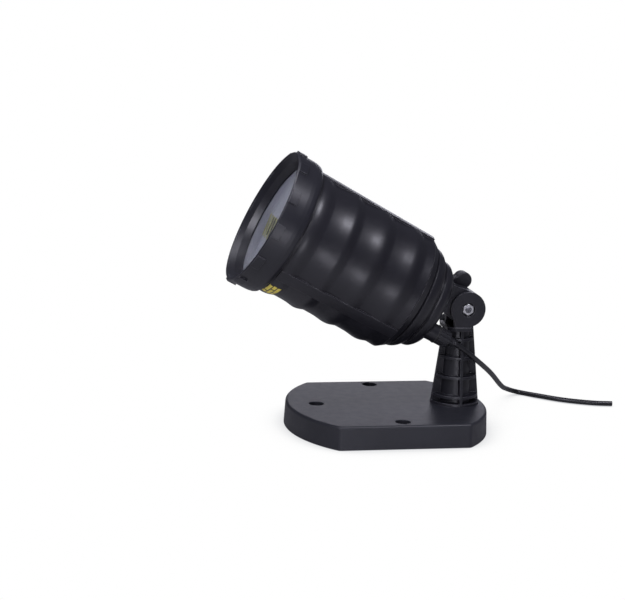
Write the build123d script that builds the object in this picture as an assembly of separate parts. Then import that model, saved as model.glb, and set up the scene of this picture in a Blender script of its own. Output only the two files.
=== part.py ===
from build123d import *
from math import acos, atan2, cos, degrees, hypot, radians, sin
import os

os.makedirs("parts", exist_ok=True)

# Light projector on a flat base.  Millimetres, +Z up, origin on the ground under the middle of the base.
# The post stands towards +X, the barrel aims towards -X and upwards, and the clamp knob is on the +Y side.

# ------------------------------------------------------------------ base sizes
BASE_HALF_LENGTH = 77.0        # at the top edge
BASE_HALF_WIDTH = 65.0
STRAIGHT_HALF = 49.8           # the long edges are straight up to here, the ends are arcs
BASE_TOP = 17.7
CORNER_R = 4.0                 # rounding where the straight edges meet the arcs
DRAFT = 0.9                    # the sides spread by this much towards the ground
SHELL_WALL = 2.6
PLATE_TOP = 3.0
CEILING = BASE_TOP - SHELL_WALL
HOLE_REACH = 54.5              # fixing holes: middle of the base to each hole
HOLE_R = 2.5
COUNTERBORE_R = 6.0
BOSS_R = 8.6
BOSS_FLOOR = 6.3
SCREW_SPOTS = [(42, 42), (42, -42), (-42, 42), (-42, -42)]

# ------------------------------------------------------------------ post and yoke sizes
POST_X = 54.8
POST_FOOT_R = 18.5
POST_TAPER = 0.1157            # radius lost per millimetre of height
RING_HEIGHTS = [24.5, 39.6, 54.7, 69.0]
RING_T = 2.0
RIB_T = 2.0
YOKE_FLOOR = 79.2
YOKE_BOTTOM = 76.4
YOKE_FRONT = 11.6              # the yoke plate reaches this far in front of the post axis
YOKE_REAR = 7.2
EAR_HALF = 6.9               # the ears narrow to this half width under the discs
EAR_R = 13.6
EAR_IN = 10.0
EAR_OUT = 14.0
STUD_R = 2.45
NUT_FLAT = 8.0
NUT_RECESS = 2.6

# ------------------------------------------------------------------ projector frame
TILT_DEG = 27.7
PIVOT = Vector(58.1, 0, 93.25)
AXIS_DROP = 12.4               # the barrel axis passes this far below the pivot
aim = Vector(-cos(radians(TILT_DEG)), 0, sin(radians(TILT_DEG)))
rise = Vector(sin(radians(TILT_DEG)), 0, cos(radians(TILT_DEG)))
# In the barrel frame x is up from the axis, y is world Y and z runs forwards from beside the pivot.
barrel_frame = Plane(origin=PIVOT - rise * AXIS_DROP, x_dir=rise, z_dir=aim)
# In the pivot frame x is world Z and z is world Y.
pivot_frame = Plane(origin=PIVOT, x_dir=(0, 0, 1), z_dir=(0, 1, 0))

# ------------------------------------------------------------------ barrel sizes
BARREL_REAR = 50.0
BARREL_SHOULDER = 149.9
BARREL_FRONT = 159.4
NECK_R = 48.7
BORE_R = 44.0
CRESTS = [144.1, 118.9, 91.4, 64.3]
WAVE_DEPTH = 1.6
# How far behind a crest, and how deep as a share of the wave: a quick drop, then a slow rise.
WAVE_POINTS = [(3.6, 0.42), (7.0, 0.98), (10.0, 0.97), (15.0, 0.84), (20.5, 0.42)]
SHOULDER_R = 49.1
STRIP_ANGLES = [-127.0, -7.0, 113.0]
STRIP_WIDTH_DEG = 11.3
FLANGE_Z = 60.0
FLANGE_HOLE_R = 39.0
CHASSIS_Z = 95.0
CHASSIS_T = 3.0
CHASSIS_FRONT = CHASSIS_Z + CHASSIS_T
CHASSIS_BOSS_R = 39.5
CHASSIS_ANGLES = [0, 120, 240]
BEZEL_REAR = 151.4
BEZEL_FRONT = 173.1
LUGS = 12
LUG_SWEEP_DEG = 11.5
LUG_FIRST_DEG = -97.5          # one lug edge; the lugs are evenly spaced from it
GLASS_FRONT = 163.6
GLASS_T = 2.6
GLASS_R = 48.5
PLATE_Z = 159.4
PLATE_T = 1.0
CAP_FACE = 21.5
CAP_INSIDE = 24.8
CONNECTOR = (-14.9, -21.5)
BOSS_END = 16.5
BUTTON = (-16.0, 11.0)

# ------------------------------------------------------------------ optics and drive sizes
BEAM_N = -4.0
BEAM_Y = 9.0
WHEEL_N = 14.0
GEAR_MODULE = 0.8
WHEEL_TEETH = 68
PINION_TEETH = 12
GEAR_CENTRES = GEAR_MODULE * (WHEEL_TEETH + PINION_TEETH) / 2
MOTOR_DIRECTION_DEG = 118.0    # from the wheel axis to the motor axis
MOTOR_N = WHEEL_N + GEAR_CENTRES * cos(radians(MOTOR_DIRECTION_DEG))
MOTOR_Y = GEAR_CENTRES * sin(radians(MOTOR_DIRECTION_DEG))
WHEEL_Z = 128.0
WHEEL_T = 3.0
BOARD_Z = 70.0
BOARD_T = 1.6
BOARD_SPOTS = [(16, 23), (16, -23), (-16, 23), (-16, -23)]

# ------------------------------------------------------------------ helpers


def save(node, *solids):
    shape = solids[0] if len(solids) == 1 else Compound(children=list(solids))
    export_step(shape, f"parts/{node}.step")


def rod(x, y, low, high, radius):
    """An upright cylinder between two heights of the frame it is drawn in."""
    return Pos(x, y, (low + high) / 2) * Cylinder(radius, high - low)


def block(x0, x1, y0, y1, z0, z1):
    return Pos((x0 + x1) / 2, (y0 + y1) / 2, (z0 + z1) / 2) * Box(x1 - x0, y1 - y0, z1 - z0)


def turned(points, arc=360):
    """A solid of revolution about Z from (radius, height) points."""
    outline = Polyline(*points, close=True)
    return revolve(Plane.XZ * make_face(outline), axis=Axis.Z, revolution_arc=arc)


def tube(r_in, r_out, low, high):
    return turned([(r_in, low), (r_out, low), (r_out, high), (r_in, high)])


def polar(radius, angle_deg):
    return radius * cos(radians(angle_deg)), radius * sin(radians(angle_deg))


def put(frame, *shapes):
    return [frame.location * shape for shape in shapes]


def base_outline(grow, height):
    reach = BASE_HALF_LENGTH + grow
    side = BASE_HALF_WIDTH + grow
    lines = [
        Line((-STRAIGHT_HALF, -side), (STRAIGHT_HALF, -side)),
        ThreePointArc((STRAIGHT_HALF, -side), (reach, 0), (STRAIGHT_HALF, side)),
        Line((STRAIGHT_HALF, side), (-STRAIGHT_HALF, side)),
        ThreePointArc((-STRAIGHT_HALF, side), (-reach, 0), (-STRAIGHT_HALF, -side)),
    ]
    face = make_face(lines)
    return Pos(0, 0, height) * fillet(face.vertices(), CORNER_R)


def gear(teeth, thickness, tooth_at_deg):
    """A gear with straight-sided teeth; one tooth points along the given direction."""
    pitch = teeth * GEAR_MODULE / 2
    root = pitch - 1.1 * GEAR_MODULE
    tip = pitch + 0.7 * GEAR_MODULE
    step = 360 / teeth
    points = []
    for k in range(teeth):
        middle = tooth_at_deg + k * step
        points.append(polar(root, middle - 0.30 * step))
        points.append(polar(tip, middle - 0.13 * step))
        points.append(polar(tip, middle + 0.13 * step))
        points.append(polar(root, middle + 0.30 * step))
    return extrude(make_face(Polyline(*points, close=True)), thickness)


def tangent_point(centre, radius, point, side):
    """Where a line from the point touches the circle; side is +1 or -1."""
    dx = point[0] - centre[0]
    dy = point[1] - centre[1]
    turn = atan2(dy, dx) + side * acos(radius / hypot(dx, dy))
    return centre[0] + radius * cos(turn), centre[1] + radius * sin(turn)


def hexagon(across_flats, height):
    return extrude(RegularPolygon(across_flats / 2, 6, major_radius=False), height)


# ------------------------------------------------------------------ base
hole_spots = [(-HOLE_REACH, 0), (0, HOLE_REACH), (0, -HOLE_REACH), (POST_X, 0)]

shell = loft([base_outline(DRAFT, 0), base_outline(0, BASE_TOP)])
shell = fillet(shell.faces().sort_by(Axis.Z)[-1].edges(), 1.8)
shell -= loft([base_outline(DRAFT - SHELL_WALL, -1), base_outline(-SHELL_WALL, CEILING)])
for x, y in hole_spots:
    shell += rod(x, y, PLATE_TOP, CEILING + 1, BOSS_R)
for x, y in hole_spots:
    shell -= rod(x, y, BOSS_FLOOR, BASE_TOP + 1, COUNTERBORE_R)
    shell -= rod(x, y, -1, BOSS_FLOOR + 1, HOLE_R)
for x, y in SCREW_SPOTS:
    shell += rod(x, y, PLATE_TOP, CEILING + 1, 4.0)
    shell -= rod(x, y, PLATE_TOP - 1, 12.0, 1.5)
# Stiffening ribs under the top skin, between the middle and the bosses.
for x0, x1, y0, y1 in ((-46, 46, -1, 1), (-1, 1, -46, 46)):
    shell += block(x0, x1, y0, y1, CEILING - 5, CEILING + 1)
save("base_shell", shell)

plate = extrude(base_outline(DRAFT - SHELL_WALL - 0.4, 0), PLATE_TOP)
for x, y in hole_spots[:3]:
    plate -= rod(x, y, -1, PLATE_TOP + 1, HOLE_R)
plate -= rod(POST_X, 0, -1, PLATE_TOP + 1, 5.2)
for x, y in SCREW_SPOTS:
    plate -= rod(x, y, -1, 1.8, 3.1)
    plate -= rod(x, y, -1, PLATE_TOP + 1, 1.7)
save("base_bottom_plate", plate)

save(
    "bottom_plate_screws",
    *[
        rod(x, y, 0.3, 1.8, 2.8) + rod(x, y, 1.8, 10.0, 1.45) - block(x - 2, x + 2, y - 0.4, y + 0.4, 0, 1.0)
        for x, y in SCREW_SPOTS
    ],
)

# ------------------------------------------------------------------ post with its yoke


def post_radius(z):
    return POST_FOOT_R - (z - BASE_TOP) * POST_TAPER


def about_post(points, arc=360):
    return Pos(POST_X, 0, 0) * turned(points, arc)


post = about_post([(0, BASE_TOP), (12.4, BASE_TOP), (8.6, YOKE_FLOOR - 1), (0, YOKE_FLOOR - 1)])
post += about_post([(0, BASE_TOP), (POST_FOOT_R + 0.2, BASE_TOP), (POST_FOOT_R, BASE_TOP + 2), (0, BASE_TOP + 2)])
for z in RING_HEIGHTS:
    low = z - RING_T / 2
    high = z + RING_T / 2
    post += about_post([(0, low), (post_radius(low), low), (post_radius(high), high), (0, high)])
rib = Plane.XZ * make_face(
    Polyline(
        (-post_radius(BASE_TOP) - 0.6, BASE_TOP),
        (post_radius(BASE_TOP) + 0.6, BASE_TOP),
        (post_radius(YOKE_BOTTOM) + 0.3, YOKE_BOTTOM + 1),
        (-post_radius(YOKE_BOTTOM) - 0.3, YOKE_BOTTOM + 1),
        close=True,
    )
)
rib = extrude(rib, RIB_T / 2, both=True)
post += Pos(POST_X, 0, 0) * rib
post += Pos(POST_X, 0, 0) * Rot(0, 0, 90) * rib
yoke_span = Pos((YOKE_REAR - YOKE_FRONT) / 2, 0) * Rectangle(YOKE_REAR + YOKE_FRONT, 2 * EAR_OUT + 1.6)
yoke_plate = Circle(hypot(EAR_OUT, EAR_HALF) + 0.3) & yoke_span
post += Pos(POST_X, 0, YOKE_BOTTOM) * extrude(yoke_plate, YOKE_FLOOR - YOKE_BOTTOM)
for inner in (-EAR_OUT, EAR_IN):
    ear = block(POST_X - EAR_HALF, POST_X + EAR_HALF, inner, inner + EAR_OUT - EAR_IN, YOKE_BOTTOM, PIVOT.Z)
    ear += pivot_frame.location * rod(0, 0, inner, inner + EAR_OUT - EAR_IN, EAR_R)
    post += ear
post += rod(POST_X, 0, BOSS_FLOOR, BASE_TOP + 1, COUNTERBORE_R - 0.1)
post -= rod(POST_X, 0, 0, 34.0, 2.2)
post -= pivot_frame.location * rod(0, 0, -EAR_OUT - 1, EAR_OUT + 1, HOLE_R)
post -= pivot_frame.location * rod(0, 0, -EAR_OUT - 1, NUT_RECESS - EAR_OUT, 5.4)
save("support_post", post)
post_screw = rod(POST_X, 0, 0.4, PLATE_TOP, 4.6) + rod(POST_X, 0, PLATE_TOP, 31.0, 2.15)
post_screw -= Pos(POST_X, 0, 0) * hexagon(3.0, 1.8)
save("post_screw", post_screw)
nut = Pos(0, 0, NUT_RECESS - EAR_OUT - 2.7) * hexagon(NUT_FLAT, 2.7)
nut = chamfer(nut.edges().group_by(Axis.Z)[0], 0.3)
nut -= rod(0, 0, -EAR_OUT - 2, 0, HOLE_R)
save("pivot_nut", *put(pivot_frame, nut))

# ------------------------------------------------------------------ clamp knob on the far side
stud = chamfer(rod(0, 0, -15.0, 24.0, STUD_R).edges().sort_by(Axis.Z)[:1], 0.5)
stud -= Pos(0, 0, -15.5) * hexagon(2.5, 2.5)
washer = tube(HOLE_R, 7.0, EAR_OUT, EAR_OUT + 1.2)
# A two-winged knob: round lobes on either side of the hub, joined by a waisted bar.
WING_REACH = 17.4
WING_R = 6.4
wing = Circle(8.8) + Rectangle(2 * WING_REACH, 8.0)
for side in (1, -1):
    wing += Pos(side * WING_REACH, 0) * Circle(WING_R)
    wing += Pos(side * (WING_REACH - 3.8), -side * 3.2) * Circle(WING_R)
wing = fillet(wing.vertices(), 0.8)
knob = extrude(wing, 10.4)
knob = chamfer(knob.edges().group_by(Axis.Z)[0] + knob.edges().group_by(Axis.Z)[-1], 0.9)
knob = Pos(0, 0, 16.2) * knob + rod(0, 0, 15.3, 17.0, 7.6)
knob -= rod(0, 0, 15.0, 24.0, STUD_R)
knob = Rot(0, 0, 15.0) * knob
save("clamp_stud", *put(pivot_frame, stud))
save("knob_washer", *put(pivot_frame, washer))
save("clamp_knob", *put(pivot_frame, knob))

# ------------------------------------------------------------------ barrel


def crest_radius(z):
    return 49.7 - 0.01935 * (145.0 - z)


def barrel_outline():
    """Outer wave from the front shoulder to the rear edge: rounded crest, quick drop, long slow rise."""
    wave = [(SHOULDER_R, BARREL_SHOULDER)]
    for z in CRESTS:
        wave.append((crest_radius(z), z))
        for back, share in WAVE_POINTS:
            if z - back > BARREL_REAR + 1:
                wave.append((crest_radius(z - back) - WAVE_DEPTH * share, z - back))
    wave.append((crest_radius(BARREL_REAR) - WAVE_DEPTH * 0.75, BARREL_REAR))
    return [
        Spline(*wave),
        Line(wave[-1], (BORE_R, BARREL_REAR)),
        Line((BORE_R, BARREL_REAR), (BORE_R, BARREL_FRONT)),
        Line((BORE_R, BARREL_FRONT), (NECK_R, BARREL_FRONT)),
        Line((NECK_R, BARREL_FRONT), (NECK_R, BARREL_SHOULDER)),
        Line((NECK_R, BARREL_SHOULDER), wave[0]),
    ]


barrel = revolve(Plane.XZ * make_face(barrel_outline()), axis=Axis.Z)
strip_points = [
    (45.5, BARREL_REAR),
    (crest_radius(BARREL_REAR) + 0.1, BARREL_REAR),
    (crest_radius(BARREL_SHOULDER) + 0.1, BARREL_SHOULDER),
    (45.5, BARREL_SHOULDER),
]
for angle in STRIP_ANGLES:
    barrel += Rot(0, 0, angle - STRIP_WIDTH_DEG / 2) * turned(strip_points, STRIP_WIDTH_DEG)
barrel += tube(34.0, BORE_R + 0.5, FLANGE_Z, FLANGE_Z + 3.0)
for angle in (30, 150, 270):
    x, y = polar(FLANGE_HOLE_R, angle)
    barrel -= rod(x, y, FLANGE_Z - 1, FLANGE_Z + 4, 1.6)
for angle in CHASSIS_ANGLES:
    x, y = polar(CHASSIS_BOSS_R, angle)
    barrel += rod(x, y, 83.0, CHASSIS_Z, 4.2) + Rot(0, 0, angle) * block(39.5, 44.6, -4.2, 4.2, 83.0, CHASSIS_Z)
    barrel -= rod(x, y, 84.0, CHASSIS_Z + 1, 1.5)
save("barrel_shell", *put(barrel_frame, barrel))

# ------------------------------------------------------------------ rear cap with its two rounded steps
cap_edges = [
    Line((0, CAP_INSIDE), (0, CAP_FACE)),
    Line((0, CAP_FACE), (26.2, CAP_FACE)),
    Spline((26.2, CAP_FACE), (31.2, 23.2), (34.4, 26.4), (35.5, 31.0), tangents=[(1.0, 0.05), (0.0, 1.0)]),
    Line((35.5, 31.0), (34.3, 32.6)),
    Line((34.3, 32.6), (36.0, 33.3)),
    Spline((36.0, 33.3), (39.9, 37.0), (41.7, 42.4), tangents=[(0.8, 0.4), (0.0, 1.0)]),
    Line((41.7, 42.4), (40.3, 44.0)),
    Line((40.3, 44.0), (43.6, 45.0)),
    Line((43.6, 45.0), (46.7, BARREL_REAR - 0.3)),
    Line((46.7, BARREL_REAR - 0.3), (43.9, BARREL_REAR - 0.3)),
    Line((43.9, BARREL_REAR - 0.3), (43.9, 53.0)),
    Line((43.9, 53.0), (42.3, 53.0)),
    Line((42.3, 53.0), (42.3, 55.2)),
    Line((42.3, 55.2), (43.9, 55.2)),
    Line((43.9, 55.2), (43.9, FLANGE_Z - 0.2)),
    Line((43.9, FLANGE_Z - 0.2), (40.4, FLANGE_Z - 0.2)),
    Line((40.4, FLANGE_Z - 0.2), (40.4, 47.5)),
    Line((40.4, 47.5), (36.8, 40.0)),
    Line((36.8, 40.0), (32.2, 36.0)),
    Line((32.2, 36.0), (30.6, 29.0)),
    Line((30.6, 29.0), (25.0, CAP_INSIDE)),
    Line((25.0, CAP_INSIDE), (0, CAP_INSIDE)),
]
cap = revolve(Plane.XZ * make_face(cap_edges), axis=Axis.Z)
for angle in (30, 150, 270):
    x, y = polar(FLANGE_HOLE_R, angle)
    cap += rod(x, y, 47.0, FLANGE_Z - 0.2, 3.2)
    cap -= rod(x, y, 48.0, FLANGE_Z, 1.5)
boss_n, boss_y = CONNECTOR
inside = turned([(0, CAP_INSIDE), (25.0, CAP_INSIDE), (30.6, 29.0), (32.2, 36.0), (0, 36.0)])
connector_boss = rod(boss_n, boss_y, BOSS_END, 33.0, 7.0) - inside
cap += connector_boss
cap -= rod(boss_n, boss_y, BOSS_END - 1, 40.0, 5.0)
cap -= rod(BUTTON[0], BUTTON[1], CAP_FACE - 1, CAP_INSIDE + 1, 4.05)
arm_screw_spots = [(6.5, 6.0), (6.5, -6.0), (18.5, 6.0), (18.5, -6.0)]
for x, y in arm_screw_spots:
    cap -= rod(x, y, CAP_FACE - 1, CAP_INSIDE + 1, 1.8)
save("rear_cap", *put(barrel_frame, cap))
save("rear_seal", *put(barrel_frame, tube(42.35, 43.95, 53.1, 55.1)))


def cap_screw(x, y, head_low, head_high, head_r, tip, shank_r):
    """A screw whose head sits between two heights and whose shank runs back to the tip."""
    screw = rod(x, y, head_low, head_high, head_r) + rod(x, y, tip, head_low, shank_r)
    return screw - Pos(x, y, head_high - 1.0) * hexagon(head_r, 2.0)


save(
    "rear_cap_screws",
    *put(barrel_frame, *[cap_screw(*polar(FLANGE_HOLE_R, a), 63.0, 65.4, 2.8, 50.0, 1.45) for a in (30, 150, 270)]),
)

# ------------------------------------------------------------------ arm from the rear cap to the pivot
ARM_LOW = 2.6
ARM_HIGH = 22.8
FLANGE_BACK = 19.0
knuckle = (AXIS_DROP, 0.0)
arm_points = [
    knuckle,
    tangent_point(knuckle, EAR_R, (ARM_LOW, -CAP_FACE), -1),
    (ARM_LOW, -CAP_FACE),
    (ARM_HIGH, -CAP_FACE),
    tangent_point(knuckle, EAR_R, (ARM_HIGH, -CAP_FACE), 1),
]
# Drawn looking along -Y, so heights in the barrel frame are negative here.
arm_plane = Plane(origin=(0, -9.7, 0), x_dir=(1, 0, 0), z_dir=(0, 1, 0))
arm_face = make_face(Polyline(*arm_points, close=True)) + Pos(*knuckle) * Circle(EAR_R)
arm = arm_plane.location * extrude(arm_face, 19.4)
arm += block(0.4, 25.0, -12.5, 12.5, FLANGE_BACK, CAP_FACE)
arm -= arm_plane.location * Pos(*knuckle) * Cylinder(HOLE_R, 60)
for x, y in arm_screw_spots:
    arm -= rod(x, y, 13.0, CAP_FACE + 1, 1.7)
save("tilt_arm", *put(barrel_frame, arm))
save(
    "arm_screws",
    *put(barrel_frame, *[cap_screw(x, y, CAP_INSIDE, 27.0, 3.0, 14.0, 1.65) for x, y in arm_screw_spots]),
)

# ------------------------------------------------------------------ bezel, glass and the pale plate behind it
bezel = turned(
    [
        (48.9, BEZEL_REAR),
        (50.9, BEZEL_REAR),
        (52.2, BEZEL_REAR + 0.8),
        (53.0, BEZEL_REAR + 2.4),
        (53.5, BEZEL_REAR + 5.0),
        (53.7, BEZEL_REAR + 8.0),
        (53.7, BEZEL_FRONT - 0.7),
        (53.1, BEZEL_FRONT),
        (52.2, BEZEL_FRONT),
        (47.6, BEZEL_FRONT - 4.4),
        (45.0, GLASS_FRONT),
        (48.9, GLASS_FRONT),
    ]
)
for k in range(LUGS):
    lug = turned([(51.0, 165.8), (54.9, 165.8), (54.9, 172.3), (51.0, 172.3)], LUG_SWEEP_DEG)
    bezel += Rot(0, 0, LUG_FIRST_DEG + 360 * k / LUGS) * lug
save("front_bezel", *put(barrel_frame, bezel))
save("front_glass", *put(barrel_frame, rod(0, 0, GLASS_FRONT - GLASS_T, GLASS_FRONT, GLASS_R)))
save("glass_gasket", *put(barrel_frame, tube(45.6, 48.4, PLATE_Z + PLATE_T, GLASS_FRONT - GLASS_T)))

window = SlotOverall(34, 15)
aperture_plate = rod(0, 0, PLATE_Z, PLATE_Z + PLATE_T, 48.4)
aperture_plate -= Pos(BEAM_N, 0, PLATE_Z - 1) * Rot(0, 0, 90) * extrude(window, 4)
save("aperture_plate", *put(barrel_frame, aperture_plate))

# ------------------------------------------------------------------ chassis, lasers and heat sink
chassis = rod(0, 0, CHASSIS_Z, CHASSIS_FRONT, 43.6)
for angle in CHASSIS_ANGLES:
    chassis -= rod(*polar(CHASSIS_BOSS_R, angle), CHASSIS_Z - 1, CHASSIS_FRONT + 1, 1.6)
for y in (BEAM_Y, -BEAM_Y):
    chassis -= rod(BEAM_N, y, CHASSIS_Z - 1, CHASSIS_FRONT + 1, 2.3)
chassis -= rod(MOTOR_N, MOTOR_Y, CHASSIS_Z - 1, CHASSIS_FRONT + 1, 3.0)
chassis -= block(-34, -26, -14, 14, CHASSIS_Z - 1, CHASSIS_FRONT + 1)
save("chassis", *put(barrel_frame, chassis))
save(
    "chassis_screws",
    *put(
        barrel_frame,
        *[
            cap_screw(*polar(CHASSIS_BOSS_R, a), CHASSIS_FRONT, CHASSIS_FRONT + 2.2, 2.8, 86.0, 1.45)
            for a in CHASSIS_ANGLES
        ],
    ),
)

sink = block(-15, 7, -16, 16, CHASSIS_FRONT, 121.0)
for y in (BEAM_Y, -BEAM_Y):
    sink -= rod(BEAM_N, y, CHASSIS_FRONT - 1, 122.0, 6.05)
for k in range(5):
    low = CHASSIS_FRONT + 3.0 + 4.0 * k
    sink -= block(-16, -11.5, -17, 17, low, low + 2.2)
save("heat_sink", *put(barrel_frame, sink))

module = turned(
    [
        (0, CHASSIS_Z - 1), (2.0, CHASSIS_Z - 1), (2.0, CHASSIS_FRONT), (6.0, CHASSIS_FRONT),
        (6.0, 124.0), (4.6, 124.6), (4.6, 125.4), (2.4, 125.4), (1.8, 123.6), (0, 123.6),
    ]
)
save("laser_module_green", *put(barrel_frame, Pos(BEAM_N, -BEAM_Y, 0) * module))
save("laser_module_red", *put(barrel_frame, Pos(BEAM_N, BEAM_Y, 0) * module))

# ------------------------------------------------------------------ drive: motor, pinion and grating wheel
motor = rod(MOTOR_N, MOTOR_Y, CHASSIS_FRONT, 120.0, 9.8) + rod(MOTOR_N, MOTOR_Y, 120.0, 122.0, 3.0)
MOTOR_EAR = 13.2
motor += Pos(MOTOR_N, MOTOR_Y, 0) * block(-MOTOR_EAR, MOTOR_EAR, -3.2, 3.2, CHASSIS_FRONT, 99.6)
for side in (1, -1):
    motor += rod(MOTOR_N + side * MOTOR_EAR, MOTOR_Y, CHASSIS_FRONT, 99.6, 3.2)
motor -= rod(MOTOR_N, MOTOR_Y, 110.0, 123.0, 1.06)
for side in (1, -1):
    motor -= rod(MOTOR_N + side * MOTOR_EAR, MOTOR_Y, CHASSIS_FRONT - 1, 101.0, 1.3)
save("gear_motor", *put(barrel_frame, motor))
save(
    "motor_screws",
    *put(
        barrel_frame,
        *[
            rod(MOTOR_N + s * MOTOR_EAR, MOTOR_Y, 99.6, 101.0, 2.2)
            + rod(MOTOR_N + s * MOTOR_EAR, MOTOR_Y, CHASSIS_FRONT, 99.6, 1.2)
            for s in (1, -1)
        ],
    ),
)
pinion_tooth = MOTOR_DIRECTION_DEG + 180
pinion = Pos(0, 0, WHEEL_Z - 1) * gear(PINION_TEETH, WHEEL_T + 2, pinion_tooth)
pinion += rod(0, 0, 111.0, WHEEL_Z + WHEEL_T + 2, 1.0)
save("motor_pinion", *put(barrel_frame, Pos(MOTOR_N, MOTOR_Y, 0) * pinion))

half_step = 180 / WHEEL_TEETH
wheel = Pos(0, 0, WHEEL_Z) * gear(WHEEL_TEETH, WHEEL_T, MOTOR_DIRECTION_DEG + half_step)
wheel -= rod(0, 0, WHEEL_Z - 1, WHEEL_Z + WHEEL_T + 1, 24.6)
wheel += tube(0.5, 7.0, WHEEL_Z, WHEEL_Z + 1.2)
for k in range(3):
    wheel += Rot(0, 0, 120 * k) * block(4.0, 25.2, -1.4, 1.4, WHEEL_Z, WHEEL_Z + 1.2)
wheel += rod(0, 0, WHEEL_Z - 3, WHEEL_Z + WHEEL_T + 2, 3.6)
wheel -= rod(0, 0, WHEEL_Z - 4, WHEEL_Z + WHEEL_T + 3, 1.55)
save("grating_wheel", *put(barrel_frame, Pos(WHEEL_N, 0, 0) * wheel))
film = tube(3.65, 24.5, WHEEL_Z + 1.25, WHEEL_Z + 1.65)
save("grating_film", *put(barrel_frame, Pos(WHEEL_N, 0, 0) * film))
axle = rod(WHEEL_N, 0, CHASSIS_FRONT, CHASSIS_FRONT + 3, 5.5) + rod(WHEEL_N, 0, CHASSIS_FRONT, 124.8, 2.6)
axle += rod(WHEEL_N, 0, CHASSIS_FRONT, 135.0, 1.5)
axle -= sink
save("wheel_axle", *put(barrel_frame, axle))
save("axle_clip", *put(barrel_frame, Pos(WHEEL_N, 0, 0) * tube(1.5, 3.0, 133.3, 133.9)))

# ------------------------------------------------------------------ driver board and wiring
board = block(-20, 20, -27, 27, BOARD_Z, BOARD_Z + BOARD_T)
for x, y in BOARD_SPOTS:
    board -= rod(x, y, BOARD_Z - 1, BOARD_Z + 3, 1.4)
save("driver_board", *put(barrel_frame, board))
board_front = BOARD_Z + BOARD_T
components = [
    block(-1, 11, -12, 0, BOARD_Z - 1.8, BOARD_Z),
    block(-15, -7, -20, -8, BOARD_Z - 6.0, BOARD_Z),
    rod(8, 12, BOARD_Z - 6.0, BOARD_Z, 4.0),
    rod(-8, 10, BOARD_Z - 5.0, BOARD_Z, 5.0) - rod(-8, 10, BOARD_Z - 6.0, BOARD_Z - 3.0, 2.0),
    block(BEAM_N - 3, BEAM_N + 3, -BEAM_Y - 3, -BEAM_Y + 3, board_front, board_front + 4.5),
    block(BEAM_N - 3, BEAM_N + 3, BEAM_Y - 3, BEAM_Y + 3, board_front, board_front + 4.5),
    block(MOTOR_N - 3, MOTOR_N + 3, 18.5, 24.5, board_front, board_front + 4.5),
]
save("board_components", *put(barrel_frame, *components))
save(
    "board_spacers",
    *put(
        barrel_frame,
        *[rod(x, y, board_front, CHASSIS_Z, 2.7) - rod(x, y, board_front - 1, 82.0, 1.3) for x, y in BOARD_SPOTS],
    ),
)
save(
    "board_screws",
    *put(
        barrel_frame,
        *[rod(x, y, BOARD_Z - 1.6, BOARD_Z, 2.4) + rod(x, y, BOARD_Z, 80.0, 1.25) for x, y in BOARD_SPOTS],
    ),
)


def wire(start, middle, end, radius=0.9):
    path = Spline(start, middle, end, tangents=[(0, 0, 1), (0, 0, 1)])
    section = Plane(origin=start, z_dir=(0, 0, 1)) * Circle(radius)
    return sweep(section, path=path)


connector_top = board_front + 4.8
module_tail = CHASSIS_Z - 1.3
wires = [
    wire((BEAM_N, -BEAM_Y, connector_top), (BEAM_N - 3, -BEAM_Y, 86.0), (BEAM_N, -BEAM_Y, module_tail)),
    wire((BEAM_N, BEAM_Y, connector_top), (BEAM_N - 3, BEAM_Y, 86.0), (BEAM_N, BEAM_Y, module_tail)),
    wire((MOTOR_N, 21.5, connector_top), (MOTOR_N, 27.0, 87.0), (MOTOR_N, MOTOR_Y, CHASSIS_FRONT - 0.3)),
    wire((boss_n, boss_y, 38.3), (-14.0, -17.8, 51.0), (-11.0, -14.0, BOARD_Z - 6.3), 1.2),
]
save("wiring_loom", *put(barrel_frame, *wires))

# ------------------------------------------------------------------ mode button and its switch
button = rod(0, 0, CAP_FACE - 1.6, 27.0, 4.0) + rod(0, 0, CAP_INSIDE + 0.2, 26.4, 5.0)
button = fillet(button.edges().sort_by(Axis.Z)[:1], 0.8)
save("mode_button", *put(barrel_frame, Pos(BUTTON[0], BUTTON[1], 0) * button))
carrier = block(-6.6, 6.6, -4, 4, 28.8, 30.6)
for low in (-6.6, 5.6):
    carrier += block(low, low + 1.0, -4, 4, CAP_INSIDE, 29.8)
across = degrees(atan2(BUTTON[1], BUTTON[0])) + 90
save("switch_carrier", *put(barrel_frame, Pos(BUTTON[0], BUTTON[1], 0) * Rot(0, 0, across) * carrier))

# ------------------------------------------------------------------ inlet, plug and cable
socket = rod(boss_n, boss_y, BOSS_END + 0.5, 38.0, 4.95) - rod(boss_n, boss_y, BOSS_END, 24.0, 3.1)
save("inlet_socket", *put(barrel_frame, socket))
at_connector = Pos(boss_n, boss_y, 0)
save("inlet_seal", *put(barrel_frame, at_connector * tube(5.1, 7.3, BOSS_END - 0.8, BOSS_END)))
coupling_nut = tube(5.0, 6.3, 6.3, BOSS_END - 0.9) + tube(3.6, 6.3, 5.7, 6.6)
for k in range(16):
    coupling_nut += Rot(0, 0, 22.5 * k) * block(5.8, 6.85, -0.6, 0.6, 6.6, BOSS_END - 1.8)
save("coupling_nut", *put(barrel_frame, at_connector * coupling_nut))
plug = rod(0, 0, 6.7, BOSS_END + 0.3, 4.95) + rod(0, 0, BOSS_END, 23.0, 3.0) + rod(0, 0, 5.4, 6.8, 3.5)
save("cable_plug", *put(barrel_frame, at_connector * plug))
relief = turned([(2.4, 0.0), (3.0, 0.0), (3.4, 5.35), (2.4, 5.35)])
for z in (1.0, 2.6, 4.2):
    relief += tube(2.4, 3.6, z, z + 0.7)
save("strain_relief", *put(barrel_frame, at_connector * relief))

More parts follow.
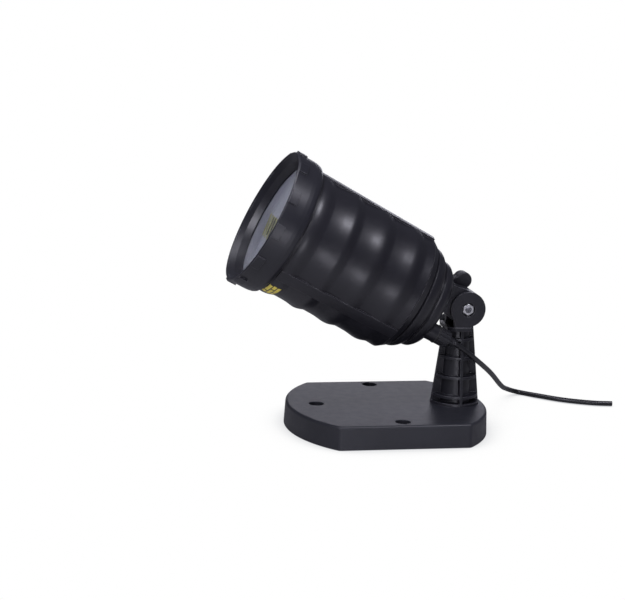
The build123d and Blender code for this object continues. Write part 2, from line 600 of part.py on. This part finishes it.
CABLE_R = 2.0
cable_start = barrel_frame.from_local_coords((boss_n, boss_y, 5.3))
cable_points = [cable_start] + [
    barrel_frame.from_local_coords((boss_n, boss_y, height)) for height in (2.5, -0.5, -3.5)
] + [
    (62.9, -17.2, 56.9),
    (86.6, 12.0, 37.4),
    (107.9, 46.5, 17.3),
    (121.5, 70.5, 7.6),
    (134.9, 80.5, CABLE_R),
    (148.5, 67.5, CABLE_R),
    (165.6, 53.1, CABLE_R),
    (186.0, 43.0, CABLE_R),
    (202.0, 39.5, CABLE_R),
]
cable_path = Spline(*cable_points)
cable_section = Plane(origin=cable_start, z_dir=cable_path % 0) * Circle(CABLE_R)
save("power_cable", sweep(cable_section, path=cable_path))

# ------------------------------------------------------------------ label behind the bezel
label = Rot(0, 0, -163.0) * turned([(49.78, 139.5), (49.93, 139.5), (49.98, 150.0), (49.83, 150.0)], 20.5)
save("rating_label", *put(barrel_frame, label))
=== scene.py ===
import math

import bpy
from mathutils import Matrix, Vector


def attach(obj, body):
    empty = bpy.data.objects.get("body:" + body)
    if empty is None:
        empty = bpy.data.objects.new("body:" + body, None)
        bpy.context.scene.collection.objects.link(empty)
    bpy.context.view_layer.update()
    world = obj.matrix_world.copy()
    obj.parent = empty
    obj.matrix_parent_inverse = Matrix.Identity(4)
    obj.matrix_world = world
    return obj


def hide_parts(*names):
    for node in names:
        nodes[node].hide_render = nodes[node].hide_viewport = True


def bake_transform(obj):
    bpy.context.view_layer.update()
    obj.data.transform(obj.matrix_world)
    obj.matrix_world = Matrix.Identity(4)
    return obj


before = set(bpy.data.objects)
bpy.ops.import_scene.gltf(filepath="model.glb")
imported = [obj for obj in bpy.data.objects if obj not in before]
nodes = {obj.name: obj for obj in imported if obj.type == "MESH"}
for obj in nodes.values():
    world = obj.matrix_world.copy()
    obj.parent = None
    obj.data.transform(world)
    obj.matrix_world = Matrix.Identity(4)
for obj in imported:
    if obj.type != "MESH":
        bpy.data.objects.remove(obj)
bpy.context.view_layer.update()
MM = 0.001

# ------------------------------------------------------------------ camera, at the photograph's angle
CAMERA_AT = Vector((-0.2988, -1.15945, 0.34203))
CAMERA_AZIMUTH = math.radians(-11.62)
CAMERA_ELEVATION = math.radians(11.62)
CAMERA_ROLL = math.radians(2.07)
LENS_MM = 92.33
SENSOR_MM = 36.0

camera_data = bpy.data.cameras.new("camera")
camera_data.lens = LENS_MM
camera_data.sensor_width = SENSOR_MM
camera = bpy.data.objects.new("camera", camera_data)
bpy.context.scene.collection.objects.link(camera)
back = Vector(
    (
        math.sin(CAMERA_AZIMUTH) * math.cos(CAMERA_ELEVATION),
        -math.cos(CAMERA_AZIMUTH) * math.cos(CAMERA_ELEVATION),
        math.sin(CAMERA_ELEVATION),
    )
)
level = Vector((math.cos(CAMERA_AZIMUTH), math.sin(CAMERA_AZIMUTH), 0.0))
upward = back.cross(level)
right = math.cos(CAMERA_ROLL) * level + math.sin(CAMERA_ROLL) * upward
top = -math.sin(CAMERA_ROLL) * level + math.cos(CAMERA_ROLL) * upward
turn = Matrix((right, top, back)).transposed().to_4x4()
camera.matrix_world = Matrix.Translation(CAMERA_AT) @ turn
bpy.context.scene.camera = camera
bpy.context.scene.view_settings.view_transform = "Standard"

# ------------------------------------------------------------------ barrel frame, as in the CAD source
TILT = math.radians(27.7)
PIVOT = Vector((58.1, 0.0, 93.25)) * MM
AXIS_DROP = 12.4 * MM
AIM = Vector((-math.cos(TILT), 0.0, math.sin(TILT)))
RISE = Vector((math.sin(TILT), 0.0, math.cos(TILT)))
FOOT = PIVOT - RISE * AXIS_DROP


def on_barrel(n, y, t):
    """A point from millimetres up from the barrel axis, along world Y and forwards."""
    return FOOT + RISE * (n * MM) + Vector((0.0, y * MM, 0.0)) + AIM * (t * MM)


# ------------------------------------------------------------------ material helpers
BEVEL_SAMPLES = 4
EDGE_STARTS = 0.80
EDGE_FLAT = 0.985
DRIFT_SCALE = 22.0
HANDLING_SCALE = 160.0
TARNISH_SCALE = 90.0
PALER_SHARE = 1.22
PALER_LIFT = 0.002
DARKER_SHARE = 0.86
# painted edge highlight: how much paler the colour along moulded edges is made
EDGE_HIGHLIGHT_SHARE = 3.0
EDGE_HIGHLIGHT_LIFT = 0.07
SHEEN_SPREAD = 0.03
GRAIN_DEPTH = 0.0002
DULL_SHARE = 0.78
BRUSH_STRETCH = 9.0
BRUSH_SMOOTHER = 0.08
BRUSH_ROUGHER = 0.1
BRUSH_STRENGTH = 0.08
BRUSH_DEPTH = 0.0001


def new_material(name):
    material = bpy.data.materials.new(name)
    material.use_nodes = True
    tree = material.node_tree
    shader = tree.nodes["Principled BSDF"]
    return material, tree, shader


def place_coordinates(tree):
    return tree.nodes.new("ShaderNodeTexCoord").outputs["Object"]


def noise(tree, vector, scale, detail=3.0, roughness=0.5):
    node = tree.nodes.new("ShaderNodeTexNoise")
    node.inputs["Scale"].default_value = scale
    node.inputs["Detail"].default_value = detail
    node.inputs["Roughness"].default_value = roughness
    tree.links.new(vector, node.inputs["Vector"])
    return node.outputs["Fac"]


def remap(tree, value, low, high, start=0.3, end=0.7):
    node = tree.nodes.new("ShaderNodeMapRange")
    node.inputs["From Min"].default_value = start
    node.inputs["From Max"].default_value = end
    node.inputs["To Min"].default_value = low
    node.inputs["To Max"].default_value = high
    tree.links.new(value, node.inputs["Value"])
    return node.outputs["Result"]


def mix_colour(tree, factor, first, second):
    node = tree.nodes.new("ShaderNodeMix")
    node.data_type = "RGBA"
    for socket, colour in ((node.inputs["A"], first), (node.inputs["B"], second)):
        if isinstance(colour, tuple):
            socket.default_value = (*colour, 1.0)
        else:
            tree.links.new(colour, socket)
    tree.links.new(factor, node.inputs["Factor"])
    return node.outputs["Result"]


def edge_highlight_mask(tree, radius):
    """1 on edges within the radius, 0 on open faces: where a painted highlight makes a moulded edge paler.
    """
    rounded = tree.nodes.new("ShaderNodeBevel")
    rounded.samples = BEVEL_SAMPLES
    rounded.inputs["Radius"].default_value = radius
    flat = tree.nodes.new("ShaderNodeNewGeometry").outputs["Normal"]
    agree = tree.nodes.new("ShaderNodeVectorMath")
    agree.operation = "DOT_PRODUCT"
    tree.links.new(rounded.outputs["Normal"], agree.inputs[0])
    tree.links.new(flat, agree.inputs[1])
    return remap(tree, agree.outputs["Value"], 1.0, 0.0, EDGE_STARTS, EDGE_FLAT)


def bump(tree, shader, height, strength, distance, edge_radius=0.0):
    node = tree.nodes.new("ShaderNodeBump")
    node.inputs["Strength"].default_value = strength
    node.inputs["Distance"].default_value = distance
    tree.links.new(height, node.inputs["Height"])
    if edge_radius:
        edge = tree.nodes.new("ShaderNodeBevel")
        edge.samples = BEVEL_SAMPLES
        edge.inputs["Radius"].default_value = edge_radius
        tree.links.new(edge.outputs["Normal"], node.inputs["Normal"])
    tree.links.new(node.outputs["Normal"], shader.inputs["Normal"])


def moulded(name, colour, roughness, grain=1400.0, grain_strength=0.12, edge_radius=0.5 * MM):
    """Moulded plastic: fine spark grain, faint tone drift, uneven sheen, softly rounded edges and a painted
    highlight along them.
    """
    material, tree, shader = new_material(name)
    where = place_coordinates(tree)
    drift = noise(tree, where, DRIFT_SCALE, detail=4.0)
    handling = noise(tree, where, HANDLING_SCALE, detail=5.0, roughness=0.6)
    paler = tuple(min(1.0, c * PALER_SHARE + PALER_LIFT) for c in colour)
    darker = tuple(c * DARKER_SHARE for c in colour)
    body_colour = mix_colour(tree, remap(tree, drift, 0.0, 1.0), darker, paler)
    if edge_radius:
        # painted highlight: edges are made paler where light would catch them
        edge_highlight = tuple(min(1.0, c * EDGE_HIGHLIGHT_SHARE + EDGE_HIGHLIGHT_LIFT) for c in colour)
        body_colour = mix_colour(tree, edge_highlight_mask(tree, edge_radius), body_colour, edge_highlight)
    tree.links.new(body_colour, shader.inputs["Base Color"])
    sheen = remap(tree, handling, roughness - SHEEN_SPREAD, roughness + SHEEN_SPREAD)
    tree.links.new(sheen, shader.inputs["Roughness"])
    bump(tree, shader, noise(tree, where, grain, detail=2.0), grain_strength, GRAIN_DEPTH, edge_radius)
    return material


def metal(name, colour, roughness, brushed=600.0, edge_radius=0.2 * MM):
    """Turned or plated metal: fine directional marks and slightly uneven sheen."""
    material, tree, shader = new_material(name)
    where = place_coordinates(tree)
    stretch = tree.nodes.new("ShaderNodeMapping")
    stretch.inputs["Scale"].default_value = (1.0, 1.0, BRUSH_STRETCH)
    tree.links.new(where, stretch.inputs["Vector"])
    marks = noise(tree, stretch.outputs["Vector"], brushed)
    tarnish = noise(tree, where, TARNISH_SCALE, detail=4.0)
    dull = tuple(c * DULL_SHARE for c in colour)
    surface = mix_colour(tree, remap(tree, tarnish, 0.0, 1.0), dull, colour)
    tree.links.new(surface, shader.inputs["Base Color"])
    shader.inputs["Metallic"].default_value = 1.0
    sheen = remap(tree, marks, roughness - BRUSH_SMOOTHER, roughness + BRUSH_ROUGHER)
    tree.links.new(sheen, shader.inputs["Roughness"])
    bump(tree, shader, marks, BRUSH_STRENGTH, BRUSH_DEPTH, edge_radius)
    return material


def dress(material, *names):
    for name in names:
        nodes[name].data.materials.clear()
        nodes[name].data.materials.append(material)


def smooth(mesh, angle_deg):
    mesh.polygons.foreach_set("use_smooth", [True] * len(mesh.polygons))
    mesh.set_sharp_from_angle(angle=math.radians(angle_deg))


# ------------------------------------------------------------------ finishes
barrel_black = moulded("barrel_black", (0.0085, 0.0082, 0.0115), 0.36, 1300.0, 0.10)
bezel_black = moulded("bezel_black", (0.0100, 0.0100, 0.0140), 0.36, 1500.0, 0.08)
base_black = moulded("base_black", (0.0150, 0.0155, 0.0205), 0.46, 1100.0, 0.16, 0.8 * MM)
post_black = moulded("post_black", (0.0090, 0.0090, 0.0125), 0.38, 1300.0, 0.10, 0.6 * MM)
knob_black = moulded("knob_black", (0.0090, 0.0090, 0.0125), 0.42, 1500.0, 0.12, 0.4 * MM)
plug_black = moulded("plug_black", (0.0080, 0.0080, 0.0110), 0.42, 1800.0, 0.10, 0.25 * MM)
chassis_black = moulded("chassis_black", (0.02, 0.02, 0.02), 0.55)
rubber_black = moulded("rubber_black", (0.006, 0.006, 0.006), 0.62, 900.0, 0.2)
plate_grey = moulded("plate_grey", (0.80, 0.80, 0.88), 0.55, 1200.0, 0.1)
wheel_nylon = moulded("wheel_nylon", (0.62, 0.61, 0.56), 0.45, 1200.0, 0.1, 0.2 * MM)
board_green = moulded("board_green", (0.01, 0.10, 0.035), 0.35, 700.0, 0.1, 0.1 * MM)
component_dark = moulded("component_dark", (0.02, 0.02, 0.022), 0.4, 900.0, 0.1, 0.15 * MM)
wire_red = moulded("wire_red", (0.35, 0.02, 0.015), 0.35, 900.0, 0.05, 0.0)
cable_black = moulded("cable_black", (0.010, 0.010, 0.012), 0.34, 1600.0, 0.05, 0.0)
zinc = metal("zinc", (0.62, 0.62, 0.64), 0.32)
bright_nut = metal("bright_nut", (0.90, 0.90, 0.91), 0.28)
dark_steel = metal("dark_steel", (0.30, 0.30, 0.32), 0.35)
brass = metal("brass", (0.72, 0.52, 0.22), 0.3)
aluminium = metal("aluminium", (0.75, 0.75, 0.77), 0.38)

GLASS_TINT = (0.93, 0.95, 0.97)
GLASS_IOR = 1.45
SMEAR_SCALE = 45.0
SMEAR_ROUGHNESS = 0.06
glass, glass_tree, glass_shader = new_material("glass")
glass_shader.inputs["Base Color"].default_value = (*GLASS_TINT, 1.0)
glass_shader.inputs["Transmission Weight"].default_value = 1.0
glass_shader.inputs["IOR"].default_value = GLASS_IOR
smear = noise(glass_tree, place_coordinates(glass_tree), SMEAR_SCALE, detail=5.0)
glass_tree.links.new(remap(glass_tree, smear, 0.0, SMEAR_ROUGHNESS), glass_shader.inputs["Roughness"])

FILM_LINES = 900.0
FILM_GREEN = (0.75, 0.9, 0.85)
FILM_VIOLET = (0.85, 0.8, 0.95)
film, film_tree, film_shader = new_material("film")
film_where = place_coordinates(film_tree)
film_lines = film_tree.nodes.new("ShaderNodeTexWave")
film_lines.inputs["Scale"].default_value = FILM_LINES
film_tree.links.new(film_where, film_lines.inputs["Vector"])
film_colour = mix_colour(film_tree, film_lines.outputs["Fac"], FILM_GREEN, FILM_VIOLET)
film_tree.links.new(film_colour, film_shader.inputs["Base Color"])
film_shader.inputs["Transmission Weight"].default_value = 0.85
film_shader.inputs["Roughness"].default_value = 0.12
film_shader.inputs["IOR"].default_value = 1.4

dress(barrel_black, "barrel_shell", "rear_cap")
dress(bezel_black, "front_bezel")
dress(base_black, "base_shell", "base_bottom_plate")
dress(post_black, "support_post", "tilt_arm")
dress(knob_black, "clamp_knob", "mode_button")
dress(plug_black, "coupling_nut", "cable_plug", "strain_relief", "inlet_socket")
dress(rubber_black, "rear_seal", "glass_gasket", "inlet_seal")
dress(chassis_black, "chassis", "board_spacers", "switch_carrier")
dress(plate_grey, "aperture_plate")
dress(wheel_nylon, "grating_wheel")
dress(board_green, "driver_board")
dress(component_dark, "board_components")
dress(wire_red, "wiring_loom")
dress(brass, "laser_module_green", "laser_module_red", "motor_pinion")
dress(aluminium, "heat_sink")
dress(glass, "front_glass")
dress(film, "grating_film")
dress(bright_nut, "pivot_nut")
dress(dark_steel, "clamp_stud")
dress(
    zinc, "bottom_plate_screws", "post_screw", "rear_cap_screws", "arm_screws",
    "chassis_screws", "motor_screws", "board_screws", "wheel_axle", "axle_clip",
    "knob_washer", "gear_motor",
)
CAD_SMOOTH_DEG = 32
for node in nodes.values():
    smooth(node.data, CAD_SMOOTH_DEG)

# ------------------------------------------------------------------ mesh helpers
ADDED_SMOOTH_DEG = 35


def add_mesh(name, vertices, faces, material, body=None):
    mesh = bpy.data.meshes.new(name)
    mesh.from_pydata([tuple(v) for v in vertices], [], faces)
    mesh.validate()
    mesh.materials.append(material)
    piece = bpy.data.objects.new(name, mesh)
    bpy.context.scene.collection.objects.link(piece)
    smooth(mesh, ADDED_SMOOTH_DEG)
    if body:
        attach(piece, body)
    return piece


def smooth_path(points, per_span):
    """Points of a uniform Catmull-Rom curve through the given ones."""
    padded = [points[0] * 2 - points[1], *points, points[-1] * 2 - points[-2]]
    path = []
    for k in range(1, len(padded) - 2):
        p0, p1, p2, p3 = padded[k - 1 : k + 3]
        for step in range(per_span):
            s = step / per_span
            path.append(
                0.5
                * (
                    2 * p1
                    + (p2 - p0) * s
                    + (2 * p0 - 5 * p1 + 4 * p2 - p3) * s**2
                    + (3 * p1 - p0 - 3 * p2 + p3) * s**3
                )
            )
    path.append(points[-1])
    return path


def tube_along(path, radius, sides):
    """Rings of vertices along a path, closed at both ends."""
    vertices = []
    faces = []
    side = Vector((0.0, 0.0, 1.0)).cross(path[1] - path[0]).normalized()
    for k, point in enumerate(path):
        ahead = path[min(k + 1, len(path) - 1)] - path[max(k - 1, 0)]
        ahead.normalize()
        side = (side - ahead * side.dot(ahead)).normalized()
        other = ahead.cross(side)
        for j in range(sides):
            angle = 2 * math.pi * j / sides
            vertices.append(point + radius * (math.cos(angle) * side + math.sin(angle) * other))
    for k in range(len(path) - 1):
        for j in range(sides):
            a = k * sides + j
            b = k * sides + (j + 1) % sides
            faces.append((a, b, b + sides, a + sides))
    faces.append(tuple(reversed(range(sides))))
    last = (len(path) - 1) * sides
    faces.append(tuple(range(last, last + sides)))
    return vertices, faces


# ------------------------------------------------------------------ power cable
CABLE_R = 2.0 * MM
CABLE_SIDES = 20
CABLE_STEPS = 14
CONNECTOR_N = -14.9
CONNECTOR_Y = -21.5
IN_THE_PLUG = (5.3, 2.5, -0.5, -3.5)
GROUND_Z = 2.0
cable_points = [on_barrel(CONNECTOR_N, CONNECTOR_Y, t) for t in IN_THE_PLUG]
for x, y, z in (
    (62.9, -17.2, 56.9),
    (86.6, 12.0, 37.4),
    (107.9, 46.5, 17.3),
    (121.5, 70.5, 7.6),
    (134.9, 80.5, GROUND_Z),
    (148.5, 67.5, GROUND_Z),
    (165.6, 53.1, GROUND_Z),
    (186.0, 43.0, GROUND_Z),
    (202.0, 39.5, GROUND_Z),
):
    cable_points.append(Vector((x, y, z)) * MM)
cable_path = smooth_path(cable_points, CABLE_STEPS)
cable = add_mesh("cable_sheath", *tube_along(cable_path, CABLE_R, CABLE_SIDES), cable_black)
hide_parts("power_cable")
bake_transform(cable)

# ------------------------------------------------------------------ label behind the bezel
LABEL_PRINT_SCALE = 0.75
LABEL_LINE = 0.032
LABEL_GROUND = (1.0, 0.82, 0.12)
LABEL_INK = (0.02, 0.018, 0.015)
LABEL_FADED = (0.75, 0.60, 0.12)
LABEL_SPECKLE = 700.0
label_material, label_tree, label_shader = new_material("label_yellow")
label_uv = label_tree.nodes.new("ShaderNodeUVMap").outputs["UV"]
bars = label_tree.nodes.new("ShaderNodeTexBrick")
bars.inputs["Scale"].default_value = LABEL_PRINT_SCALE
bars.inputs["Mortar Size"].default_value = LABEL_LINE
bars.inputs["Color1"].default_value = (*LABEL_GROUND, 1.0)
bars.inputs["Color2"].default_value = (*LABEL_GROUND, 1.0)
bars.inputs["Mortar"].default_value = (*LABEL_INK, 1.0)
label_tree.links.new(label_uv, bars.inputs["Vector"])
ink_noise = noise(label_tree, place_coordinates(label_tree), LABEL_SPECKLE)
fading = remap(label_tree, ink_noise, 0.0, 0.12)
label_colour = mix_colour(label_tree, fading, bars.outputs["Color"], LABEL_FADED)
label_tree.links.new(label_colour, label_shader.inputs["Base Color"])
label_tree.links.new(remap(label_tree, ink_noise, 0.3, 0.45), label_shader.inputs["Roughness"])

LABEL_ROWS = 12
LABEL_COLUMNS = 14
LABEL_FIRST_DEG = -163.0
LABEL_SWEEP_DEG = 20.5
# along the barrel, in millimetres
LABEL_REAR = 139.5
LABEL_FRONT = 150.0
# away from the barrel, in metres
LABEL_LIFT = 0.12 * MM
LABEL_THICK = 0.1 * MM
OUTSIDE_BARREL = 60.0 * MM
shell = nodes["barrel_shell"]
label_vertices = []
label_faces = []
for row in range(LABEL_ROWS + 1):
    t = LABEL_REAR + (LABEL_FRONT - LABEL_REAR) * row / LABEL_ROWS
    for column in range(LABEL_COLUMNS + 1):
        angle = math.radians(LABEL_FIRST_DEG + LABEL_SWEEP_DEG * column / LABEL_COLUMNS)
        outward = RISE * math.cos(angle) + Vector((0.0, math.sin(angle), 0.0))
        start = on_barrel(0.0, 0.0, t) + outward * OUTSIDE_BARREL
        found, hit, _, _ = shell.ray_cast(start, -outward)
        label_vertices.append((hit if found else start) + outward * LABEL_LIFT)
for row in range(LABEL_ROWS):
    for column in range(LABEL_COLUMNS):
        a = row * (LABEL_COLUMNS + 1) + column
        label_faces.append((a, a + 1, a + LABEL_COLUMNS + 2, a + LABEL_COLUMNS + 1))
label = add_mesh("yellow_label", label_vertices, label_faces, label_material)
label_layer = label.data.uv_layers.new(name="UVMap")
for loop in label.data.loops:
    row, column = divmod(loop.vertex_index, LABEL_COLUMNS + 1)
    label_layer.data[loop.index].uv = (column / LABEL_COLUMNS, row / LABEL_ROWS)
thick = label.modifiers.new("thickness", "SOLIDIFY")
thick.thickness = LABEL_THICK
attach(label, "projector")
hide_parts("rating_label")

# ------------------------------------------------------------------ hatched light window on the disc
WINDOW_DARK = (0.62, 0.60, 0.18)
WINDOW_PALE = (0.86, 0.82, 0.36)
WINDOW_MOTTLE = 300.0
WINDOW_GRAIN = 1500.0
WINDOW_GRAIN_STRENGTH = 0.1
window_material, window_tree, window_shader = new_material("window_cream")
window_where = place_coordinates(window_tree)
window_tone = noise(window_tree, window_where, WINDOW_MOTTLE, detail=4.0)
window_colour = mix_colour(window_tree, remap(window_tree, window_tone, 0.0, 1.0), WINDOW_DARK, WINDOW_PALE)
window_tree.links.new(window_colour, window_shader.inputs["Base Color"])
window_tree.links.new(remap(window_tree, window_tone, 0.35, 0.5), window_shader.inputs["Roughness"])
window_grain = noise(window_tree, window_where, WINDOW_GRAIN)
bump(window_tree, window_shader, window_grain, WINDOW_GRAIN_STRENGTH, GRAIN_DEPTH)

# millimetres up from the barrel axis, along Y and forwards
WINDOW_N = -5.0
WINDOW_Y = 4.0
WINDOW_HALF_N = 8.6
WINDOW_HALF_Y = 16.5
WINDOW_SKEW = 0.22
WINDOW_BACK = 160.42
# the bars, as shares of the half window
HATCH_BARS = 4
BAR_SPREAD = 0.75
BAR_LEAN = 0.15
BAR_HALF = 0.12
# millimetres
BAR_THICK = 0.3


def slab(outline, low, high):
    """Vertices and faces of a flat piece on the disc from (n, y) corners."""
    count = len(outline)
    corners = [on_barrel(n, y, t) for t in (low, high) for n, y in outline]
    sides = [(k, (k + 1) % count, (k + 1) % count + count, k + count) for k in range(count)]
    return corners, [tuple(reversed(range(count))), tuple(range(count, 2 * count)), *sides]


def window_spot(across, along):
    """(n, y) of a place in the leaning window; both run from -1 to 1."""
    n = WINDOW_N + along * WINDOW_HALF_N
    return n, WINDOW_Y + across * WINDOW_HALF_Y + WINDOW_SKEW * along * WINDOW_HALF_N


window_vertices = []
window_faces = []
for k in range(HATCH_BARS):
    middle = BAR_SPREAD * (2 * k / (HATCH_BARS - 1) - 1)
    bar = [
        window_spot(max(-1.0, min(1.0, middle + lean + half)), along)
        for lean, half, along in (
            (-BAR_LEAN, -BAR_HALF, -1),
            (-BAR_LEAN, BAR_HALF, -1),
            (BAR_LEAN, BAR_HALF, 1),
            (BAR_LEAN, -BAR_HALF, 1),
        )
    ]
    vertices, faces = slab(bar, WINDOW_BACK, WINDOW_BACK + BAR_THICK)
    first = len(window_vertices)
    window_vertices += vertices
    window_faces += [tuple(first + index for index in face) for face in faces]
add_mesh("window_hatch", window_vertices, window_faces, window_material, "projector")

# ------------------------------------------------------------------ floor, world and lights
SHADOW_GREY = (0.45, 0.46, 0.49)
PAPER_WHITE = (1.0, 1.0, 1.0)
FLOOR_DARK = (0.40, 0.40, 0.40)
FLOOR_PALE = (0.42, 0.42, 0.42)
FLOOR_ROUGHNESS = 0.9
FLOOR_MOTTLE = 12.0
CONTACT_REACH = 0.05
CONTACT_SAMPLES = 12
SHADOW_STARTS = 0.1
SHADOW_ENDS = 0.85
FLOOR_HALF = 6.0
FLOOR_GAP = 0.0002
floor_material, floor_tree, floor_shader = new_material("floor_white")
floor_shader.inputs["Roughness"].default_value = FLOOR_ROUGHNESS
floor_grain = noise(floor_tree, place_coordinates(floor_tree), FLOOR_MOTTLE)
floor_colour = mix_colour(floor_tree, remap(floor_tree, floor_grain, 0.0, 1.0), FLOOR_DARK, FLOOR_PALE)
floor_tree.links.new(floor_colour, floor_shader.inputs["Base Color"])
contact = floor_tree.nodes.new("ShaderNodeAmbientOcclusion")
contact.inputs["Distance"].default_value = CONTACT_REACH
contact.samples = CONTACT_SAMPLES
paper = floor_tree.nodes.new("ShaderNodeEmission")
openness = remap(floor_tree, contact.outputs["AO"], 0.0, 1.0, SHADOW_STARTS, SHADOW_ENDS)
floor_tree.links.new(mix_colour(floor_tree, openness, SHADOW_GREY, PAPER_WHITE), paper.inputs["Color"])
floor_seen = floor_tree.nodes.new("ShaderNodeLightPath")
floor_mix = floor_tree.nodes.new("ShaderNodeMixShader")
floor_tree.links.new(floor_seen.outputs["Is Camera Ray"], floor_mix.inputs["Fac"])
floor_tree.links.new(floor_shader.outputs["BSDF"], floor_mix.inputs[1])
floor_tree.links.new(paper.outputs["Emission"], floor_mix.inputs[2])
floor_tree.links.new(floor_mix.outputs["Shader"], floor_tree.nodes["Material Output"].inputs["Surface"])
floor_corners = [
    (-FLOOR_HALF, -FLOOR_HALF, 0.0),
    (FLOOR_HALF, -FLOOR_HALF, 0.0),
    (FLOOR_HALF, FLOOR_HALF, 0.0),
    (-FLOOR_HALF, FLOOR_HALF, 0.0),
]
floor = add_mesh("floor", floor_corners, [(0, 1, 2, 3)], floor_material)
floor.location.z = -FLOOR_GAP

world = bpy.data.worlds.new("studio")
bpy.context.scene.world = world
world.use_nodes = True
world_tree = world.node_tree
backdrop = world_tree.nodes["Background"]
backdrop.inputs["Color"].default_value = (*PAPER_WHITE, 1.0)
backdrop.inputs["Strength"].default_value = 1.0
seen = world_tree.nodes.new("ShaderNodeLightPath")


def world_layer(colour, strength):
    layer = world_tree.nodes.new("ShaderNodeBackground")
    layer.inputs["Color"].default_value = (*colour, 1.0)
    layer.inputs["Strength"].default_value = strength
    return layer.outputs["Background"]


def world_choice(ray, otherwise, chosen):
    choice = world_tree.nodes.new("ShaderNodeMixShader")
    world_tree.links.new(seen.outputs[ray], choice.inputs["Fac"])
    world_tree.links.new(otherwise, choice.inputs[1])
    world_tree.links.new(chosen, choice.inputs[2])
    return choice.outputs["Shader"]


FILL_COLOUR = (0.80, 0.82, 1.0)
DIFFUSE_FILL = 0.12
GLOSSY_FILL = 0.13
surroundings = world_choice(
    "Is Glossy Ray", world_layer(FILL_COLOUR, DIFFUSE_FILL), world_layer(FILL_COLOUR, GLOSSY_FILL)
)
studio_world = world_choice("Is Camera Ray", surroundings, backdrop.outputs["Background"])
world_tree.links.new(studio_world, world_tree.nodes["World Output"].inputs["Surface"])

LIGHT_COLOUR = (0.90, 0.89, 1.0)


def softbox(name, at, target, width, height, power):
    data = bpy.data.lights.new(name, "AREA")
    data.shape = "RECTANGLE"
    data.size = width
    data.size_y = height
    data.energy = power
    data.color = LIGHT_COLOUR
    light = bpy.data.objects.new(name, data)
    bpy.context.scene.collection.objects.link(light)
    aim_at = Vector(target) - Vector(at)
    facing = aim_at.to_track_quat("-Z", "Y").to_matrix().to_4x4()
    light.matrix_world = Matrix.Translation(Vector(at)) @ facing
    light.visible_camera = False


MIDDLE = (-0.03, 0.0, 0.12)
BEZEL_SPOT = (-0.11, 0.0, 0.17)
GROUND_SPOT = (0.0, 0.0, 0.02)
softbox("near", at=(-0.28, -0.35, 0.45), target=MIDDLE, width=0.2, height=0.2, power=1.5)
softbox("key", at=(0.30, -0.45, 0.90), target=MIDDLE, width=0.20, height=0.24, power=4.2)
softbox("low", at=(-0.06, -0.62, 0.05), target=MIDDLE, width=0.20, height=0.10, power=0.5)
softbox("high", at=(-0.35, 0.15, 0.9), target=MIDDLE, width=0.4, height=0.4, power=2.5)
softbox("bezel", at=(-0.45, -0.60, 0.38), target=BEZEL_SPOT, width=0.3, height=0.3, power=0.6)
softbox("behind", at=(0.40, 1.3, 0.28), target=GROUND_SPOT, width=0.75, height=0.24, power=1.5)
